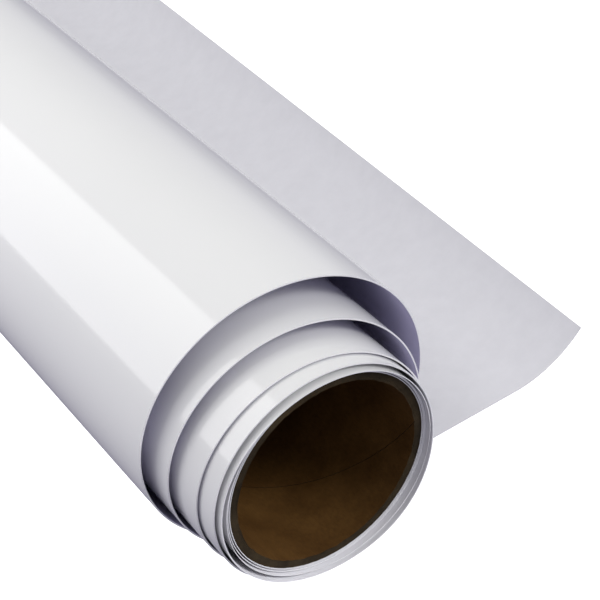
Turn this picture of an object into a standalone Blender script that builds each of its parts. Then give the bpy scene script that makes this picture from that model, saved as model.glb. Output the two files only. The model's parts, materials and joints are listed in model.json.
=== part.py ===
"""Roll of sign vinyl on a paperboard core, its outer turns loosened and its tail laid out flat.

Metres, +Z up. The roll's axis runs along Y, the near end faces -Y and the tail lies towards +X.
Sizes are worked out about the roll's axis, and the whole roll is set down on the ground at the end.
"""

import math

import bmesh
import bpy
import numpy as np
from mathutils import Matrix, Vector

# Core: a paperboard tube of three plies
CORE_BORE_RADIUS = 0.0381
CORE_WALL = 0.0033
FACE_PLY = 0.0006

# Web: the printable film and its release liner
WEB_WIDTH = 0.610
FILM = 0.00015
LINER = 0.0002
GAP = 0.0003
WEB = FILM + GAP + LINER

# Turns wound tight on the core
LEAD_TURN = 0.00035
TAPE = 0.0002
TAPE_START = math.radians(215)
TAPE_ANGLE = math.radians(34)
TAPE_MARGIN = 0.025
TIGHT_TURNS = 0.00033
TIGHT_LEAN = Vector((-0.00075, 0.0006))

# Loose turns, counted inwards from the tail
ROOM_AROUND_TIGHT = 0.00036
ROOM_AT_BOTTOM = 0.00055
ROOM_AT_TOP = 0.00017
ROOM_AT_LOWER_LEFT = 0.00009
CLOSEST_TURN = 1.07
LEAN_START = -0.0017
SIDE_BULGE = 0.00033
FLATTEN = 0.001
FLATTENED_TURNS = 0.5
SETBACKS = (0.0284, 0.0176, 0.0050, -0.0015)
TILT_START = -0.0010
TILT_RATE = -0.00044
LEAD_SETBACK = -0.0004
TIGHT_SETBACK = -0.0010

# Tail on the ground, with its free end curled up
TAIL_ROOT = 0.036
TAIL_FLAT = 0.073
TAIL_DRIFT = 0.02
CURL_RADIUS = 0.050
BEND_ANGLE = math.radians(23)
LIP_ANGLE = math.radians(23)
LIP_STRIP_ANGLE = math.radians(7)
FREE_EDGE_SKEW = 0.027

SEGMENTS = 60
CURL_SEGMENTS = 4
LIP_SEGMENTS = 2

# Depths of each layer's faces below the web's outer face, and each slot's colour and roughness
LAYERS = {"film": (0.0, FILM), "liner": (FILM + GAP, WEB)}
LOOKS = {
    "film": ((0.86, 0.87, 0.88), 0.15),
    "liner": ((0.66, 0.65, 0.70), 0.55),
    "wound_web": ((0.82, 0.83, 0.85), 0.2),
    "core_board": ((0.10, 0.06, 0.03), 0.8),
    "starter_tape": ((0.75, 0.68, 0.5), 0.4),
}

LOOSE_TURNS = len(SETBACKS)
BOTTOM_PITCH = WEB + ROOM_AT_BOTTOM
SLACK = (BOTTOM_PITCH + WEB + GAP + ROOM_AT_TOP) / 2

# The outer turns lean out over the inner ones as far as the room at the lower left lets them
SPREAD = 2 * (LOOSE_TURNS - 0.5 - CLOSEST_TURN) - 1
SIDE_ROOM = (SLACK + 2 * SIDE_BULGE) * SPREAD - BOTTOM_PITCH
LEAN_GROWTH = math.sqrt(2 * (ROOM_AT_BOTTOM - ROOM_AT_LOWER_LEFT) * SIDE_ROOM) / SPREAD

CORE_OUTER_RADIUS = CORE_BORE_RADIUS + CORE_WALL
LEAD_RADIUS = CORE_OUTER_RADIUS + GAP + LEAD_TURN
TIGHT_RADIUS = LEAD_RADIUS + TIGHT_LEAN.length + GAP + TIGHT_TURNS
FOURTH_RADIUS = TIGHT_RADIUS + TIGHT_LEAN.length + GAP + WEB + ROOM_AROUND_TIGHT
LAST_BOTTOM = -(TIGHT_RADIUS - TIGHT_LEAN.y + GAP + WEB + ROOM_AROUND_TIGHT / 2)
GROUND = LAST_BOTTOM - LOOSE_TURNS * BOTTOM_PITCH
SETBACK_CURVE = np.polyfit(np.arange(LOOSE_TURNS) + 0.5, SETBACKS, LOOSE_TURNS - 1)


def clear_scene():
    for found in list(bpy.data.objects):
        bpy.data.objects.remove(found)


def make_material(name, colour, roughness):
    material = bpy.data.materials.new(name)
    material.use_nodes = True
    shader = material.node_tree.nodes["Principled BSDF"]
    shader.inputs["Base Color"].default_value = (*colour, 1)
    shader.inputs["Roughness"].default_value = roughness
    shader.inputs["Metallic"].default_value = 0
    return material


def make_pivot(name, place, parent=None):
    """Empty on a joint's axis, at an absolute place about the roll's axis."""
    pivot = bpy.data.objects.new(name, None)
    pivot.empty_display_size = 0.02
    pivot["place"] = place
    pivot.parent = parent
    pivot.location = Vector(place) - Vector(parent["place"] if parent else (0, 0, 0))
    bpy.context.scene.collection.objects.link(pivot)
    return pivot


def add_piece(name, bm, pivot, colour, roughness):
    """Object from a bmesh built about the roll's axis, with its origin on its pivot."""
    mesh = bpy.data.meshes.new(name)
    bmesh.ops.recalc_face_normals(bm, faces=bm.faces[:])
    bm.to_mesh(mesh)
    bm.free()
    mesh.transform(Matrix.Translation(-Vector(pivot["place"])))
    mesh.shade_smooth()
    mesh.set_sharp_from_angle(angle=math.radians(30))
    mesh.materials.append(make_material(name, colour, roughness))
    piece = bpy.data.objects.new(name, mesh)
    piece.parent = pivot
    bpy.context.scene.collection.objects.link(piece)
    return piece


def extruded(outer, inner, width, closed=False, skew=None):
    """Solid whose near edge is the strip between two rows of points, run along the roll's axis."""
    bm = bmesh.new()
    rows = [[bm.verts.new(point) for point in row] for row in (outer, inner)]
    count = len(outer)
    for i in range(count if closed else count - 1):
        j = (i + 1) % count
        bm.faces.new((rows[0][i], rows[0][j], rows[1][j], rows[1][i]))
    last = [tuple(row[-1].co) for row in rows]
    grown = bmesh.ops.extrude_face_region(bm, geom=bm.faces[:])["geom"]
    moved = [item for item in grown if isinstance(item, bmesh.types.BMVert)]
    if skew:
        ends = [vert for vert in moved if tuple(vert.co) in last]
        bmesh.ops.translate(bm, vec=skew, verts=ends)
    bmesh.ops.translate(bm, vec=(0, width, 0), verts=moved)
    return bm


def ring(inner_radius, outer_radius, near, centre=Vector((0, 0)), start=0.0, end=math.tau):
    """Rows of points for a round wall about a centre; near gives its near edge at each angle."""
    closed = math.isclose(end - start, math.tau)
    steps = round(SEGMENTS * (end - start) / math.tau)
    angles = [start + (end - start) * i / steps for i in range(steps if closed else steps + 1)]
    rows = []
    for radius in (outer_radius, inner_radius):
        rows.append([
            (centre.x + radius * math.cos(a), near(a), centre.y + radius * math.sin(a))
            for a in angles
        ])
    return (*rows, closed)


def flush(_):
    return 0.0


def tilted(setback):
    return lambda angle: setback + TILT_START * math.cos(angle)


def turn_radius(turn):
    """Outer radius of the web so many turns in from the tail: the further out, the looser."""
    out = LOOSE_TURNS - 0.5 - turn
    return FOURTH_RADIUS + SLACK * out * abs(out)


def turn_setback(turn):
    """How far the web's near edge lies behind the core's near end."""
    out = LOOSE_TURNS - 0.5 - turn
    tilt = TILT_START + TILT_RATE * out
    return float(np.polyval(SETBACK_CURVE, turn)) + tilt * math.cos(turn_angle(turn))


def turn_angle(turn):
    return -math.pi / 2 - math.tau * turn


def web_point(turn, depth):
    """Point on the near edge, so many turns in from the tail and so deep inside the outer face."""
    out = LOOSE_TURNS - 0.5 - turn
    radius = turn_radius(turn)
    lean = LEAN_START + LEAN_GROWTH * out * out
    sunk = FLATTEN * max(0.0, 1 - turn / FLATTENED_TURNS) ** 2
    bottom = GROUND + BOTTOM_PITCH * turn - sunk
    angle = turn_angle(turn)
    x = lean + (radius + SIDE_BULGE * out * out - depth) * math.cos(angle)
    z = bottom + radius + (radius - depth) * math.sin(angle)
    return (x, turn_setback(turn), max(z, GROUND + depth))


def turn_rows(turn, top, bottom):
    """Rows of points for one layer of one loose turn, from one bottom of the roll to the next."""
    first = turn + GAP / 2 / (math.tau * turn_radius(turn))
    last = turn + 1 - GAP / 2 / (math.tau * turn_radius(turn + 1))
    steps = [first + (last - first) * i / SEGMENTS for i in range(SEGMENTS + 1)]
    return [[web_point(step, depth) for step in steps] for depth in (top, bottom)]


def tail_setback(x):
    return turn_setback(0) + TAIL_DRIFT * (x - web_point(0, 0)[0])


def tail_point(along, depth):
    """Point on the tail's near edge, so far along it from the roll's bottom; depth runs upwards."""
    start = web_point(0, 0)[0]
    flat = TAIL_ROOT + TAIL_FLAT
    angle = max(0.0, along - flat) / CURL_RADIUS
    reach = CURL_RADIUS - depth
    x = start + min(along, flat) + reach * math.sin(angle)
    z = GROUND + depth + reach * (1 - math.cos(angle))
    return (x, tail_setback(x), z)


def tail_rows(first, last, top, bottom, steps=1):
    spots = [first + (last - first) * i / steps for i in range(steps + 1)]
    return [[tail_point(spot, depth) for spot in spots] for depth in (top, bottom)]


def build_core(pivot):
    ply = FACE_PLY
    walls = {
        "core_inner_ply": (CORE_BORE_RADIUS, CORE_BORE_RADIUS + ply),
        "core_body_ply": (CORE_BORE_RADIUS + ply + GAP, CORE_OUTER_RADIUS - ply - GAP),
        "core_outer_ply": (CORE_OUTER_RADIUS - ply, CORE_OUTER_RADIUS),
    }
    for name, (inner_radius, outer_radius) in walls.items():
        outer, inner, closed = ring(inner_radius, outer_radius, flush)
        add_piece(name, extruded(outer, inner, WEB_WIDTH, closed), pivot, *LOOKS["core_board"])


def build_lead(pivot):
    """First turn on the core, and the tape that holds its leading edge."""
    base = CORE_OUTER_RADIUS + GAP
    edge = GAP / base
    near = tilted(LEAD_SETBACK)
    tape_end = TAPE_START + TAPE_ANGLE
    outer, inner, _ = ring(base, base + TAPE, near, start=TAPE_START, end=tape_end)
    for row in (outer, inner):
        row[:] = [(x, y + TAPE_MARGIN, z) for x, y, z in row]
    tape = extruded(outer, inner, WEB_WIDTH - 2 * TAPE_MARGIN)
    add_piece("starter_tape", tape, pivot, *LOOKS["starter_tape"])
    start, end = tape_end + edge, TAPE_START + math.tau - edge
    outer, inner, _ = ring(base, LEAD_RADIUS, near, start=start, end=end)
    add_piece("lead_turn", extruded(outer, inner, WEB_WIDTH), pivot, *LOOKS["wound_web"])


def build_tight(pivot):
    inner_radius = TIGHT_RADIUS - TIGHT_TURNS
    outer, inner, closed = ring(inner_radius, TIGHT_RADIUS, tilted(TIGHT_SETBACK), TIGHT_LEAN)
    add_piece("tight_turns", extruded(outer, inner, WEB_WIDTH, closed), pivot, *LOOKS["wound_web"])


def build_turn(turn, name, pivot):
    for layer, (top, bottom) in LAYERS.items():
        outer, inner = turn_rows(turn, top, bottom)
        add_piece(f"{name}_{layer}", extruded(outer, inner, WEB_WIDTH), pivot, *LOOKS[layer])


def build_tail_part(name, first, last, pivot, steps=1, skew=None, layers=("film", "liner")):
    for layer in layers:
        rows = tail_rows(first, last, *LAYERS[layer], steps)
        piece = extruded(*rows, WEB_WIDTH, skew=skew)
        add_piece(f"{name}_{layer}", piece, pivot, *LOOKS[layer])


def build_tail(roll):
    """Flat tail, then its free end curling up, each stretch hinged on the one before."""
    lift = TAIL_ROOT
    bend = TAIL_ROOT + TAIL_FLAT
    lip = bend + CURL_RADIUS * BEND_ANGLE
    peel = lip + CURL_RADIUS * LIP_STRIP_ANGLE
    end = lip + CURL_RADIUS * LIP_ANGLE
    half = GAP / 2

    def pivot_at(name, along, parent):
        x, _, z = tail_point(along, WEB)
        return make_pivot(name, (x, 0, z), parent)

    tail = pivot_at("tail", lift, roll)
    tail_bend = pivot_at("tail_bend", bend, tail)
    tail_lip = pivot_at("tail_lip", lip, tail_bend)
    liner_peel = pivot_at("liner_peel", peel + half, tail_lip)

    heading = BEND_ANGLE + LIP_ANGLE - LIP_ANGLE / CURL_SEGMENTS / 2
    skew = WEB_WIDTH * FREE_EDGE_SKEW * Vector((math.cos(heading), 0, math.sin(heading)))
    build_tail_part("tail_root", half, lift - half, roll)
    build_tail_part("tail", lift + half, bend - half, tail)
    build_tail_part("tail_bend", bend + half, lip - half, tail_bend, CURL_SEGMENTS)
    build_tail_part("tail_lip", lip + half, end, tail_lip, CURL_SEGMENTS, skew, ("film",))
    build_tail_part("tail_lip", lip + half, peel - half, tail_lip, LIP_SEGMENTS, layers=("liner",))
    build_tail_part("peel_tab", peel + half, end, liner_peel, LIP_SEGMENTS, skew, ("liner",))


def set_down(base):
    """Moves the whole roll so that the world's origin is under the middle of its box."""
    bpy.context.view_layer.update()
    corners = np.array([
        found.matrix_world @ vert.co
        for found in bpy.data.objects if found.type == "MESH"
        for vert in found.data.vertices
    ])
    low, high = corners.min(axis=0), corners.max(axis=0)
    middle = (low + high) / 2
    base.location = (-middle[0], -middle[1], -low[2])


def build_roll():
    clear_scene()
    axis = (0, 0, 0)
    base = make_pivot("roll", axis)
    outer_turn = make_pivot("outer_turn", axis, base)
    build_turn(0, "outer_turn", outer_turn)
    pivot = outer_turn
    for turn, name in enumerate(("second_turn", "third_turn", "fourth_turn"), 1):
        pivot = make_pivot(name, axis, pivot)
        build_turn(turn, name, pivot)
    build_tight(pivot)
    core = make_pivot("core", axis, pivot)
    build_lead(core)
    build_core(core)
    build_tail(outer_turn)
    set_down(base)


build_roll()
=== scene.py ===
"""A roll of glossy white sign vinyl on a paperboard core: its web, its core and a studio round them."""

import json
import math

import bmesh
import bpy
import numpy as np
from mathutils import Matrix, Vector, noise


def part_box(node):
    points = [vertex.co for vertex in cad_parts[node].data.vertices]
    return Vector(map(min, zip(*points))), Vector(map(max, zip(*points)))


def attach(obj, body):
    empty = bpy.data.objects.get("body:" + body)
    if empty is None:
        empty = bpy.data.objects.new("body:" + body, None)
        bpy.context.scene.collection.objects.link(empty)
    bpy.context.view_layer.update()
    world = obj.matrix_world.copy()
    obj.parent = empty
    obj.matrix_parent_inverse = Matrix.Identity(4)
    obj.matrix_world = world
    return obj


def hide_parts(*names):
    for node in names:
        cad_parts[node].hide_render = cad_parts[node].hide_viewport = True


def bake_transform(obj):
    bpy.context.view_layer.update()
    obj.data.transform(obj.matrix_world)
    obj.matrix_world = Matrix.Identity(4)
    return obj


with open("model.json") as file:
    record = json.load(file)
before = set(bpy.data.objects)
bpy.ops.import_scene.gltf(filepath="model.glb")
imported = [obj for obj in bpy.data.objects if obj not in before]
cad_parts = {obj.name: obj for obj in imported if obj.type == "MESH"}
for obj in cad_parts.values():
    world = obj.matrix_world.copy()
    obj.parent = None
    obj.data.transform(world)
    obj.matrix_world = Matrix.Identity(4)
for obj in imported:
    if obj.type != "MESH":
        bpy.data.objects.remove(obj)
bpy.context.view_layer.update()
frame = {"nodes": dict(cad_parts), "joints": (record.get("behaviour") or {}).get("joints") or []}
JOINTS = {joint["name"]: joint for joint in frame["joints"]}

# The roll's axis and the core, from the frame
AXIS = Vector(JOINTS["core_turn"]["pos_m"])
CORE_LOW, CORE_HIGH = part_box("core_outer_ply")
CORE_NEAR = CORE_LOW.y
CORE_FAR = CORE_HIGH.y
CORE_RADIUS = (CORE_HIGH.x - CORE_LOW.x) / 2
BORE_LOW, BORE_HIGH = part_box("core_inner_ply")
BORE_RADIUS = 0.0381
FACE_PLY = (BORE_HIGH.x - BORE_LOW.x) / 2 - BORE_RADIUS
WEB_WIDTH = 0.610
GROUND = -AXIS.z

# The web: a film and its release liner, with a hair's breadth of adhesive between
FILM = 0.00022
LINER = 0.00030
GLUE = 0.00002
WEB = FILM + GLUE + LINER
LAYERS = {"film": (0.0, FILM), "liner": (FILM + GLUE, LINER)}
TIGHT_SHARE = 0.5

# How the loose turns lie about the axis, counted inwards from the tail
LOOSE_TURNS = 4
LEAN_START = -0.0017
LEAN_GROWTH = 0.0006
SLACK = 0.00116
SIDE_BULGE = 0.00033
FLATTEN = 0.001
FLATTEN_EASE = 0.0004
BOTTOM_PITCH = 0.0012
SETBACKS = (0.0284, 0.0176, 0.0050, -0.0015)
TILT_START = -0.0010
TILT_RATE = -0.00044
FOURTH_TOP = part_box("fourth_turn_film")[1].z - AXIS.z
FOURTH_RADIUS = (FOURTH_TOP - GROUND - BOTTOM_PITCH * (LOOSE_TURNS - 0.5)) / 2
SETBACK_CURVE = np.polyfit(np.arange(LOOSE_TURNS) + 0.5, SETBACKS, LOOSE_TURNS - 1)

# Turns wound tight between the loose ones and the lead turn, which is a ring on the core
TIGHT_TURNS = 3
TIGHT_PITCH = 0.00034
LEAD_START = LOOSE_TURNS + TIGHT_TURNS
LEAD_RADIUS = CORE_RADIUS + 0.00028
LEAD_CLEARANCE = 0.00026
THINNING = 4
HALF_TURN_SQUARED = 0.25
SETTLING = 4
LEAN_SETTLING = 3
RISE_SETTLING = 8

# Near edge of the wound web from the fourth turn in: places along it in turns, and how far each lies
# behind the core's end. A negative one stands proud of it
EDGE_TURNS = (3.6, 3.75, 3.875, 4.0, 4.25, 4.375, 4.5, 4.75, 4.875, 5.0, 5.25, 5.75, 6.0, 8.0)
EDGE_SETBACKS = (
    -0.0021, -0.0034, -0.0062, -0.0040, -0.0020, -0.0028, -0.0038, -0.0030, -0.0036, -0.0024,
    -0.0013, -0.0009, -0.0006, -0.0003,
)
EDGE_EASE = 0.07
EDGE_SAMPLES = 9

# Tail
TAIL_LIFT = Vector(JOINTS["tail_lift"]["pos_m"])
TAIL_CURL = Vector(JOINTS["tail_curl"]["pos_m"])
TAIL_DRIFT = 0.02
CURL_RADIUS = 0.050
BEND_ANGLE = math.radians(23)
LIP_ANGLE = math.radians(23)
LIP_STRIP_ANGLE = math.radians(7)
FREE_EDGE_SKEW = 0.027

# Where the tail bends, how far each bend spreads along it, and the steps of its stretches
LIFT_SPREAD = 0.022
CURL_SPREAD = 0.012
PEEL_SPREAD = 0.006
ROOT_STEPS = 40
BEND_STEPS = 60
LIP_STEPS = 24
PEEL_STEPS = 14

# Fineness of the sheets
STEPS_PER_TURN = 112
ACROSS = 34
EDGE_FINENESS = 2.2
RIGID_SHARE = 0.75
LENGTH_STEPS = 60

# Core
CORE_SEGMENTS = 240
WRAP_PLY = 0.0005
SEAT = 0.00002
RIBBON_PITCH = 0.150
RIBBON_STEPS = 120
RIBBON_LEAD = 1
SEAM = 0.00025
SEAM_ANGLE = math.radians(-3.6)
CHAMFER = 0.0001
FRAYED = 0.0008
FIBRE_SCALE = 900
FIBRE_SHIFTS = (Vector((0, 0, 0)), Vector((7, 0, 0)), Vector((0, 9, 0)))
WELD = 1e-7

# Camera
VIEW_AZIMUTH = math.radians(-31.174)
VIEW_ELEVATION = math.radians(38.311)
VIEW_ROLL = math.radians(-5.059)
VIEW_DISTANCE = 0.57708
VIEW_ACROSS = 0.01009
VIEW_UP = -0.06087
VIEW_LENS = 97.893
VIEW_SENSOR = 36

# Studio
SKY = (
    (0.0, (0.20, 0.19, 0.25)),
    (0.46, (0.34, 0.33, 0.42)),
    (0.54, (0.59, 0.58, 0.66)),
    (0.8, (0.63, 0.63, 0.63)),
)
FLOOR_SIZE = 6
FLOOR_DROP = 0.0003
STUDIO_DEPTH = 0.25
SOFTBOX_PLACE = Vector((-0.592, 0.72, 0.539))
SOFTBOX_AIM = Vector((0, 0.72, 0))
SOFTBOX_SIZE = (1.7, 1.04)
SOFTBOX_POWER = 9.6
FILL_PLACE = Vector((0.7, -1.1, 0.9))
FILL_SIZE = (0.5, 0.5)
FILL_POWER = 9
BORE_LIGHT_PLACE = Vector((0.30, -0.40, 0.45))
BORE_LIGHT_AIM = Vector((-0.018, 0.004, -0.034))
BORE_LIGHT_SPREAD = math.radians(5)
BORE_LIGHT_RADIUS = 0.03
BORE_LIGHT_POWER = 12


# ---- Materials ----------------------------------------------------------------------------

def new_material(name, colour, roughness, **settings):
    """Material with the constant values set on the shader's own sockets; returns its node tree too."""
    material = bpy.data.materials.new(name)
    material.use_nodes = True
    tree = material.node_tree
    shader = tree.nodes["Principled BSDF"]
    shader.inputs["Base Color"].default_value = (*colour, 1)
    shader.inputs["Roughness"].default_value = roughness
    for key, value in settings.items():
        shader.inputs[key.replace("_", " ")].default_value = value
    return material, tree, shader


def object_coordinates(tree, scale=(1, 1, 1)):
    source = tree.nodes.new("ShaderNodeTexCoord")
    mapping = tree.nodes.new("ShaderNodeMapping")
    mapping.inputs["Scale"].default_value = scale
    tree.links.new(source.outputs["Object"], mapping.inputs["Vector"])
    return mapping.outputs["Vector"]


def noise_texture(tree, vector, scale, detail=4, roughness=0.55):
    texture = tree.nodes.new("ShaderNodeTexNoise")
    texture.inputs["Scale"].default_value = scale
    texture.inputs["Detail"].default_value = detail
    texture.inputs["Roughness"].default_value = roughness
    tree.links.new(vector, texture.inputs["Vector"])
    return texture.outputs["Fac"]


def colour_ramp(tree, factor, stops):
    ramp = tree.nodes.new("ShaderNodeValToRGB")
    elements = ramp.color_ramp.elements
    while len(elements) < len(stops):
        elements.new(0.5)
    for element, (place, colour) in zip(elements, stops):
        element.position = place
        element.color = (*colour, 1)
    tree.links.new(factor, ramp.inputs["Fac"])
    return ramp.outputs["Color"]


def value_range(tree, factor, low, high):
    spread = tree.nodes.new("ShaderNodeMapRange")
    spread.inputs["To Min"].default_value = low
    spread.inputs["To Max"].default_value = high
    tree.links.new(factor, spread.inputs["Value"])
    return spread.outputs["Result"]


def add_bump(tree, shader, height, strength, distance):
    bump = tree.nodes.new("ShaderNodeBump")
    bump.inputs["Strength"].default_value = strength
    bump.inputs["Distance"].default_value = distance
    tree.links.new(height, bump.inputs["Height"])
    previous = shader.inputs["Normal"].links
    if previous:
        tree.links.new(previous[0].from_socket, bump.inputs["Normal"])
    tree.links.new(bump.outputs["Normal"], shader.inputs["Normal"])


def film_material():
    """Glossy calendered vinyl: barely mottled white with a faint orange peel."""
    material, tree, shader = new_material(
        "glossy_white_film", (0.72, 0.72, 0.72), 0.10, IOR=1.50, Coat_Weight=0.25, Coat_Roughness=0.05
    )
    place = object_coordinates(tree)
    cloud = noise_texture(tree, place, 9, 3)
    tone = colour_ramp(tree, cloud, [(0.3, (0.712, 0.714, 0.712)), (0.7, (0.73, 0.73, 0.728))])
    tree.links.new(tone, shader.inputs["Base Color"])
    haze = noise_texture(tree, place, 60, 4)
    tree.links.new(value_range(tree, haze, 0.08, 0.13), shader.inputs["Roughness"])
    add_bump(tree, shader, noise_texture(tree, place, 420, 3), 0.05, 0.0002)
    add_bump(tree, shader, noise_texture(tree, object_coordinates(tree, (1, 0.12, 1)), 45, 2), 0.04, 0.001)
    return material


def liner_material(name, light, dark):
    """Matt coated release paper: fine fibres and faint cloudy formation."""
    material, tree, shader = new_material(name, light, 0.62, Sheen_Weight=0.08, Sheen_Roughness=0.5)
    place = object_coordinates(tree)
    formation = noise_texture(tree, place, 130, 6, 0.65)
    tone = colour_ramp(tree, formation, [(0.32, dark), (0.68, light)])
    tree.links.new(tone, shader.inputs["Base Color"])
    fibres = noise_texture(tree, object_coordinates(tree, (1, 0.35, 1)), 1500, 5, 0.7)
    add_bump(tree, shader, fibres, 0.12, 0.00008)
    tree.links.new(value_range(tree, formation, 0.55, 0.7), shader.inputs["Roughness"])
    return material


def cut_edge_material():
    """Cut edge of the web, bright white with the drag lines of the slitting knife."""
    material, tree, shader = new_material("cut_edge", (0.88, 0.88, 0.89), 0.5)
    streaks = noise_texture(tree, object_coordinates(tree), 2600, 3)
    tone = colour_ramp(tree, streaks, [(0.3, (0.80, 0.80, 0.82)), (0.7, (0.92, 0.92, 0.93))])
    tree.links.new(tone, shader.inputs["Base Color"])
    add_bump(tree, shader, streaks, 0.3, 0.00005)
    return material


def board_material(name, dark, light, roughness, bump):
    """Spiral-wound kraft board: fibres, flecks and a soft mottle."""
    material, tree, shader = new_material(name, light, roughness, Specular_IOR_Level=0.2)
    place = object_coordinates(tree)
    mottle = noise_texture(tree, place, 55, 6, 0.62)
    tone = colour_ramp(tree, mottle, [(0.3, dark), (0.72, light)])
    fleck = noise_texture(tree, object_coordinates(tree, (1, 0.5, 1)), 900, 5, 0.75)
    mix = tree.nodes.new("ShaderNodeMix")
    mix.data_type = "RGBA"
    mix.blend_type = "MULTIPLY"
    mix.inputs["Factor"].default_value = 0.55
    tree.links.new(tone, mix.inputs["A"])
    tree.links.new(colour_ramp(tree, fleck, [(0.3, (0.5, 0.5, 0.5)), (0.6, (1, 1, 1))]), mix.inputs["B"])
    tree.links.new(mix.outputs["Result"], shader.inputs["Base Color"])
    add_bump(tree, shader, fleck, bump, 0.00025)
    add_bump(tree, shader, mottle, bump, 0.0006)
    return material


def tape_material():
    material, tree, shader = new_material("starter_tape", (0.82, 0.80, 0.74), 0.3, Coat_Weight=0.3)
    ripple = noise_texture(tree, object_coordinates(tree), 300, 4)
    tree.links.new(colour_ramp(tree, ripple, [(0.3, (0.76, 0.74, 0.68)), (0.7, (0.86, 0.84, 0.79))]),
                   shader.inputs["Base Color"])
    add_bump(tree, shader, ripple, 0.2, 0.0001)
    return material


def floor_material():
    """Plain white floor that glows evenly, so that no shadow greys it."""
    material, tree, shader = new_material("studio_floor", (0.93, 0.93, 0.93), 0.9)
    shader.inputs["Specular IOR Level"].default_value = 0.0
    shader.inputs["Emission Color"].default_value = (1, 1, 1, 1)
    shader.inputs["Emission Strength"].default_value = 1.0
    return material


FILM_WHITE = film_material()
LINER_LIGHT = liner_material("release_liner", (0.71, 0.705, 0.745), (0.675, 0.67, 0.71))
# Copy of the same liner, deeper violet: its colour is painted shade for the liner's face inside the roll
LINER_PAINTED_SHADE = liner_material("release_liner_painted_shade", (0.60, 0.57, 0.80), (0.56, 0.53, 0.76))
CUT_EDGE = cut_edge_material()
BOARD = board_material("kraft_board", (0.060, 0.026, 0.005), (0.115, 0.056, 0.014), 0.6, 0.35)
BOARD_EDGE = board_material("cut_board_edge", (0.012, 0.008, 0.003), (0.060, 0.042, 0.020), 0.9, 0.8)
TAPE_FINISH = tape_material()


# ---- The web's path -----------------------------------------------------------------------

def turn_angle(turn):
    return -math.pi / 2 - math.tau * turn


def loose_section(turn, depth):
    """(x, z) about the axis of the web's loose turns, depth under the outer face."""
    out = LOOSE_TURNS - 0.5 - turn
    radius = FOURTH_RADIUS + SLACK * out * abs(out)
    lean = LEAN_START + LEAN_GROWTH * out * out
    sunk = FLATTEN * max(0.0, 1 - 2 * turn) ** 2
    bottom = GROUND + BOTTOM_PITCH * turn - sunk
    angle = turn_angle(turn)
    x = lean + (radius + SIDE_BULGE * out * out - depth) * math.cos(angle)
    above = bottom + radius + (radius - depth) * math.sin(angle) - GROUND - depth
    eased = (above + math.hypot(above, FLATTEN_EASE * max(0.0, 1 - 2 * turn))) / 2
    return x, GROUND + depth + eased


def wound_section(turn, depth):
    """(x, z) about the axis of the web from the loose turns down to the lead turn."""
    share = (turn - LOOSE_TURNS) / TIGHT_TURNS
    loose_radius = FOURTH_RADIUS - SLACK * HALF_TURN_SQUARED
    lean = LEAN_START + LEAN_GROWTH * HALF_TURN_SQUARED
    rise = GROUND + BOTTOM_PITCH * LOOSE_TURNS + loose_radius
    last = LEAD_RADIUS + WEB * TIGHT_SHARE + LEAD_CLEARANCE
    packed = last + TIGHT_PITCH * (LEAD_START - turn)
    slack = loose_radius - last - TIGHT_PITCH * TIGHT_TURNS
    left = 1 - share
    radius = packed + slack * left ** SETTLING
    thin = depth * (1 + (TIGHT_SHARE - 1) * min(1.0, THINNING * share))
    angle = turn_angle(turn)
    bulge = SIDE_BULGE * HALF_TURN_SQUARED * left
    x = lean * left ** LEAN_SETTLING + (radius + bulge - thin) * math.cos(angle)
    z = rise * left ** RISE_SETTLING + (radius - thin) * math.sin(angle)
    return x, z


def turn_setback(turn):
    """How far the web's near edge lies behind the core's near end."""
    if turn > EDGE_TURNS[0] + EDGE_EASE:
        around = np.linspace(turn - EDGE_EASE, turn + EDGE_EASE, EDGE_SAMPLES)
        return float(np.interp(around, EDGE_TURNS, EDGE_SETBACKS).mean())
    out = LOOSE_TURNS - 0.5 - turn
    tilt = TILT_START + TILT_RATE * out
    return float(np.polyval(SETBACK_CURVE, turn)) + tilt * math.cos(turn_angle(turn))


def web_place(turn, depth, along):
    """Point of the web in the row's frame; along runs over its width, 0 at its near edge."""
    x, z = loose_section(turn, depth) if turn < LOOSE_TURNS else wound_section(turn, depth)
    return Vector((AXIS.x + x, CORE_NEAR + turn_setback(turn) + along * WEB_WIDTH, AXIS.z + z))


def lead_place(turn, depth, along):
    """Point of the lead turn: a ring on the core, so that it turns freely in the tight turns."""
    radius = LEAD_RADIUS - depth * TIGHT_SHARE
    x, z = radius * math.cos(turn_angle(turn)), radius * math.sin(turn_angle(turn))
    return Vector((AXIS.x + x, CORE_NEAR + turn_setback(turn) + along * WEB_WIDTH, AXIS.z + z))


TAIL_START = AXIS.x + loose_section(0, 0)[0]
FLAT_END = TAIL_CURL.x - TAIL_START
LIP_START = FLAT_END + CURL_RADIUS * BEND_ANGLE
PEEL_START = LIP_START + CURL_RADIUS * LIP_STRIP_ANGLE
TAIL_END = LIP_START + CURL_RADIUS * LIP_ANGLE


def tail_place(run, depth, along):
    """Point of the tail, run along it from the roll's bottom; its depth is counted upwards."""
    angle = max(0.0, run - FLAT_END) / CURL_RADIUS
    reach = CURL_RADIUS - depth
    x = TAIL_START + min(run, FLAT_END) + reach * math.sin(angle)
    z = depth + reach * (1 - math.cos(angle))
    y = CORE_NEAR + turn_setback(0) + TAIL_DRIFT * (x - TAIL_START) + along * WEB_WIDTH
    return Vector((x, y, z))


def free_end_place(run, depth, along):
    """Point of the tail's last stretch, its free end cut a little out of square."""
    share = max(0.0, (run - PEEL_START) / (TAIL_END - PEEL_START))
    return tail_place(run + share * FREE_EDGE_SKEW * along * WEB_WIDTH, depth, along)


# ---- Building sheets ----------------------------------------------------------------------

def spread_edges(share):
    """Evenly spaced shares, crowded towards both edges of the web."""
    centred = 2 * share - 1
    return (math.copysign(1 - (1 - abs(centred)) ** EDGE_FINENESS, centred) + 1) / 2


def finish_piece(piece, body, materials):
    for material in materials:
        piece.data.materials.append(material)
    bpy.context.scene.collection.objects.link(piece)
    if body:
        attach(piece, body)
    return piece


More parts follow.
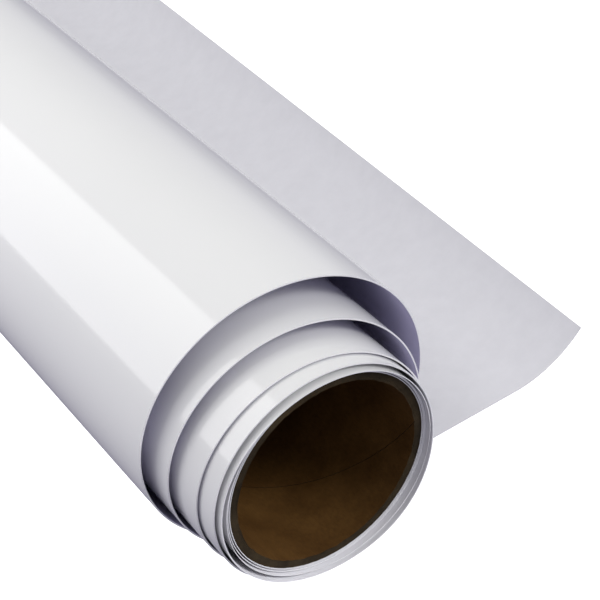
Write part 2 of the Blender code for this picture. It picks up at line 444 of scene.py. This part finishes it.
def layer_mesh(name, place, top, bottom, steps):
    """Closed thin sheet laid onto the web; place takes shares along the web, over it and into it.

    The sheet starts as a flat grid, grows its thickness, and is then bent to its place. Its cut rim is
    the second material, with sharp edges, so that stretches of the web join without a mark.
    """
    bm = bmesh.new()
    uv = bm.loops.layers.uv.new("UVMap")
    bmesh.ops.create_grid(bm, x_segments=steps, y_segments=ACROSS, size=0.5)
    bmesh.ops.translate(bm, vec=(0.5, 0.5, 0), verts=bm.verts[:])
    grown = bmesh.ops.extrude_face_region(bm, geom=bm.faces[:])["geom"]
    inner = [item for item in grown if isinstance(item, bmesh.types.BMVert)]
    bmesh.ops.translate(bm, vec=(0, 0, 1), verts=inner)
    bm.normal_update()
    for face in bm.faces:
        rim = abs(face.normal.z) < 0.5
        face.smooth = not rim
        face.material_index = int(rim)
        for loop in face.loops:
            loop[uv].uv = loop.vert.co.xy
    for edge in bm.edges:
        rims = {face.material_index for face in edge.link_faces}
        edge.smooth = len(rims) == 1
    for vert in bm.verts:
        along, across, into = vert.co
        vert.co = place(along, spread_edges(across), top + (bottom - top) * into)
    bmesh.ops.recalc_face_normals(bm, faces=bm.faces[:])
    mesh = bpy.data.meshes.new(name)
    bm.to_mesh(mesh)
    bm.free()
    return mesh


def web_piece(name, layer, place, first, last, steps, body=None, blended=None, painted_shade=True):
    """Stretch of one layer of the web, laid where place puts a run along it, a depth and a share over it."""
    depth, thickness = LAYERS[layer]

    def spot(along, across, into):
        return place(first + (last - first) * along, into, across)

    mesh = layer_mesh(name, spot, depth, depth + thickness, steps)
    piece = bpy.data.objects.new(name, mesh)
    # The liner's copy with painted shade goes where painted_shade is set; elsewhere the liner's own colour
    face = FILM_WHITE if layer == "film" else (LINER_PAINTED_SHADE if painted_shade else LINER_LIGHT)
    finish_piece(piece, body, [face, CUT_EDGE])
    if blended:
        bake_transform(piece)
    middle = [spot(i / LENGTH_STEPS, 0.5, depth) for i in range(LENGTH_STEPS + 1)]
    return piece


TURN_BODIES = ("outer_turn", "second_turn", "third_turn", "fourth_turn")


def build_turns():
    """Each loose turn: three quarters on its own body, and a last quarter built apart, left on no body where
    another turn follows.
    """
    for turn, body in enumerate(TURN_BODIES):
        rigid_end = turn + RIGID_SHARE
        blended = None
        if turn + 1 < LOOSE_TURNS:
            side = AXIS.z + loose_section(rigid_end, 0)[1]
            bottom = AXIS.z + loose_section(turn + 1, 0)[1]
            blended = (body, TURN_BODIES[turn + 1], (AXIS.x, AXIS.y, side), (AXIS.x, AXIS.y, bottom))
        stretches = (("", turn, rigid_end, None), ("_lower", rigid_end, turn + 1, blended))
        for layer in LAYERS:
            for suffix, first, last, blend in stretches:
                piece = web_piece(
                    f"{layer}_of_{body}{suffix}", layer, web_place, first, last,
                    round(STEPS_PER_TURN * (last - first)), None if blend else body, blend,
                    # The first three loose turns' liner gets the copy with painted shade
                    painted_shade=turn + 1 < LOOSE_TURNS,
                )
                if not suffix:
                    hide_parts(f"{body}_{layer}")


def build_wound_turns():
    """The thin tight turns that ride with the fourth one, and the lead turn that is fixed to the core."""
    for layer in LAYERS:
        stretches = (
            (f"{layer}_of_tight_turns", web_place, LOOSE_TURNS, LEAD_START, "fourth_turn"),
            (f"{layer}_of_lead_turn", lead_place, LEAD_START, LEAD_START + 1, "core"),
        )
        for name, place, first, last, body in stretches:
            piece = web_piece(
                name, layer, place, first, last, round(STEPS_PER_TURN * (last - first)), body,
                painted_shade=False,
            )
            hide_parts("tight_turns" if body == "fourth_turn" else "lead_turn")


def build_tail():
    """The tail's stretches and its peeling tab, laid along the bent tail."""
    lift, curl = TAIL_LIFT.x - TAIL_START, TAIL_CURL.x - TAIL_START
    middle = lift + (curl - lift) / 2
    lip_first = LIP_START - CURL_SPREAD / 2

    def bend(body, next_body, first, last):
        return body, next_body, tail_place(first, 0, 0.5), tail_place(last, 0, 0.5)

    root = bend("outer_turn", "tail", lift - LIFT_SPREAD, lift + LIFT_SPREAD)
    curled = bend("tail", "tail_bend", curl - CURL_SPREAD, curl + CURL_SPREAD)
    lip = bend("tail_bend", "tail_lip", lip_first, LIP_START + CURL_SPREAD / 3)
    peeled = bend("tail_lip", "liner_peel", PEEL_START, PEEL_START + PEEL_SPREAD)
    for layer in LAYERS:
        lip_last = TAIL_END if layer == "film" else PEEL_START
        stretches = (
            ("root", tail_place, 0, middle, ROOT_STEPS, root, ("tail_root", "tail")),
            ("bend", tail_place, middle, lip_first, BEND_STEPS, curled, ("tail_bend",)),
            ("lip", free_end_place, lip_first, lip_last, LIP_STEPS, lip, ("tail_lip",)),
        )
        for part, place, first, last, steps, blended, nodes in stretches:
            piece = web_piece(f"{layer}_of_tail_{part}", layer, place, first, last, steps,
                              blended=blended, painted_shade=False)
            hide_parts(*(f"{node}_{layer}" for node in nodes))
    tab = web_piece("liner_peel_tab", "liner", free_end_place, PEEL_START, TAIL_END, PEEL_STEPS,
                    blended=peeled, painted_shade=False)
    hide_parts("peel_tab_liner")


# ---- Core ---------------------------------------------------------------------------------

def tube(inner, outer):
    """Tube about the roll's axis, the length of the core: a bevelled profile spun a full turn."""
    bm = bmesh.new()
    corners = [(inner, CORE_NEAR), (outer, CORE_NEAR), (outer, CORE_FAR), (inner, CORE_FAR)]
    verts = [bm.verts.new((AXIS.x + radius, along, AXIS.z)) for radius, along in corners]
    bm.faces.new(verts)
    bmesh.ops.bevel(bm, geom=bm.verts[:], offset=CHAMFER, segments=3, profile=0.5, affect="VERTICES",
                    material=-1)
    bmesh.ops.delete(bm, geom=bm.faces[:], context="FACES_ONLY")
    bmesh.ops.spin(bm, geom=bm.verts[:] + bm.edges[:], cent=AXIS, axis=(0, 1, 0), angle=math.tau,
                   steps=CORE_SEGMENTS, use_merge=True)
    bmesh.ops.remove_doubles(bm, verts=bm.verts[:], dist=WELD)
    bmesh.ops.recalc_face_normals(bm, faces=bm.faces[:])
    return bm


def ribbon(inner, outer):
    """Inner ply: one strip of paper wound on a helix, with the open seam between its edges."""
    bm = bmesh.new()
    low = CORE_NEAR - RIBBON_LEAD * RIBBON_PITCH
    high = low + RIBBON_PITCH - SEAM
    turned = Matrix.Rotation(SEAM_ANGLE, 3, "Y")
    corners = [(inner, low), (outer, low), (outer, high), (inner, high)]
    verts = [bm.verts.new(AXIS + turned @ Vector((radius, along - AXIS.y, 0))) for radius, along in corners]
    edges = [bm.edges.new((verts[i], verts[i - 1])) for i in range(4)]
    turns = math.ceil((CORE_FAR - CORE_NEAR) / RIBBON_PITCH) + RIBBON_LEAD + 1
    steps = RIBBON_STEPS * turns
    bmesh.ops.spin(bm, geom=verts + edges, cent=AXIS, axis=(0, 1, 0), angle=math.tau * turns, steps=steps,
                   dvec=(0, RIBBON_PITCH / RIBBON_STEPS, 0))
    for along, side in ((CORE_NEAR, -1), (CORE_FAR, 1)):
        cut = bmesh.ops.bisect_plane(bm, geom=bm.verts[:] + bm.edges[:] + bm.faces[:], dist=WELD,
                                     plane_co=(0, along, 0), plane_no=(0, side, 0), clear_outer=True)
        rim = [item for item in cut["geom_cut"] if isinstance(item, bmesh.types.BMEdge)]
        bmesh.ops.holes_fill(bm, edges=rim, sides=0)
    bmesh.ops.recalc_face_normals(bm, faces=bm.faces[:])
    return bm


def roughen_ends(bm, depth):
    """Ragged fibres at the cut ends."""
    for vert in bm.verts:
        end = min(vert.co.y - CORE_NEAR, CORE_FAR - vert.co.y)
        if end < FRAYED:
            spot = vert.co * FIBRE_SCALE
            vert.co += depth * Vector([noise.noise(spot + shift) for shift in FIBRE_SHIFTS])


def build_core():
    """The core's plies, each with its fray: how far its cut fibres stray."""
    body_inner = BORE_RADIUS + FACE_PLY
    plies = (
        ("core_board", tube(body_inner, CORE_RADIUS - WRAP_PLY), "core_body_ply", 0.0002),
        ("core_wrap_ply", tube(CORE_RADIUS - WRAP_PLY + SEAT, CORE_RADIUS), "core_outer_ply", 0.0001),
        ("core_bore_ply", ribbon(BORE_RADIUS, body_inner - SEAT), "core_inner_ply", 0.0003),
    )
    for name, bm, node, fray in plies:
        for face in bm.faces:
            face.material_index = int(abs(face.normal.y) > 0.5)
            face.smooth = True
        roughen_ends(bm, fray)
        mesh = bpy.data.meshes.new(name)
        bm.to_mesh(mesh)
        bm.free()
        piece = finish_piece(bpy.data.objects.new(name, mesh), "core", [BOARD, BOARD_EDGE])
        mesh.set_sharp_from_angle(angle=math.radians(40))
        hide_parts(node)


def dress_tape():
    for slot in frame["nodes"]["starter_tape"].material_slots:
        slot.material = TAPE_FINISH


# ---- Studio -------------------------------------------------------------------------------

def build_floor():
    bm = bmesh.new()
    bmesh.ops.create_grid(bm, x_segments=1, y_segments=1, size=FLOOR_SIZE)
    mesh = bpy.data.meshes.new("floor")
    bm.to_mesh(mesh)
    bm.free()
    mesh.materials.append(floor_material())
    floor = bpy.data.objects.new("floor", mesh)
    bpy.context.scene.collection.objects.link(floor)
    floor.location.z = -FLOOR_DROP
    floor.visible_diffuse = False
    floor.visible_glossy = False


def add_lamp(lamp, place, aim):
    """Hangs the lamp at its place, turned to its aim."""
    holder = bpy.data.objects.new(lamp.name, lamp)
    holder.location = place
    holder.rotation_euler = (aim - place).to_track_quat("-Z", "Y").to_euler()
    bpy.context.scene.collection.objects.link(holder)


def add_panel(name, place, aim, size, power):
    lamp = bpy.data.lights.new(name, "AREA")
    lamp.shape = "RECTANGLE"
    lamp.size, lamp.size_y = size
    lamp.energy = power
    add_lamp(lamp, place, aim)


def add_bore_light():
    """Small lamp in front of the roll that warms the paperboard inside the core's mouth."""
    mouth = Vector((AXIS.x, CORE_NEAR, AXIS.z))
    lamp = bpy.data.lights.new("bore_light", "SPOT")
    lamp.spot_size = BORE_LIGHT_SPREAD
    lamp.spot_blend = 1.0
    lamp.shadow_soft_size = BORE_LIGHT_RADIUS
    lamp.energy = BORE_LIGHT_POWER
    add_lamp(lamp, mouth + BORE_LIGHT_PLACE, mouth + BORE_LIGHT_AIM)


def light_studio():
    """Sky bright overhead and dim below, a long softbox low on the left, a fill and the bore's light."""
    world = bpy.data.worlds.new("studio")
    bpy.context.scene.world = world
    world.use_nodes = True
    tree = world.node_tree
    background = tree.nodes["Background"]
    source = tree.nodes.new("ShaderNodeTexCoord")
    split = tree.nodes.new("ShaderNodeSeparateXYZ")
    tree.links.new(source.outputs["Generated"], split.inputs["Vector"])
    height = tree.nodes.new("ShaderNodeMapRange")
    height.inputs["From Min"].default_value = -1
    tree.links.new(split.outputs["Z"], height.inputs["Value"])
    sky = colour_ramp(tree, height.outputs["Result"], SKY)
    tree.links.new(sky, background.inputs["Color"])
    background.inputs["Strength"].default_value = 1.0
    centre = Vector((AXIS.x, CORE_NEAR + STUDIO_DEPTH, AXIS.z))
    add_panel("softbox", centre + SOFTBOX_PLACE, centre + SOFTBOX_AIM, SOFTBOX_SIZE, SOFTBOX_POWER)
    add_panel("fill", centre + FILL_PLACE, centre, FILL_SIZE, FILL_POWER)
    add_bore_light()
    bpy.context.scene.view_settings.view_transform = "Standard"


def place_camera():
    azimuth, elevation = VIEW_AZIMUTH, VIEW_ELEVATION
    back = Vector((math.sin(azimuth) * math.cos(elevation), -math.cos(azimuth) * math.cos(elevation),
                   math.sin(elevation)))
    level = Vector((math.cos(azimuth), math.sin(azimuth), 0))
    upright = back.cross(level)
    right = math.cos(VIEW_ROLL) * level + math.sin(VIEW_ROLL) * upright
    up = math.cos(VIEW_ROLL) * upright - math.sin(VIEW_ROLL) * level
    aim = Vector((AXIS.x, CORE_NEAR, AXIS.z))
    lens = bpy.data.cameras.new("camera")
    lens.lens = VIEW_LENS
    lens.sensor_width = VIEW_SENSOR
    camera = bpy.data.objects.new("camera", lens)
    turned = Matrix((right, up, back)).transposed().to_4x4()
    turned.translation = aim + VIEW_DISTANCE * back - VIEW_ACROSS * right - VIEW_UP * up
    camera.matrix_world = turned
    bpy.context.scene.collection.objects.link(camera)
    bpy.context.scene.camera = camera


place_camera()
build_turns()
build_wound_turns()
build_tail()
build_core()
dress_tape()
build_floor()
light_studio()
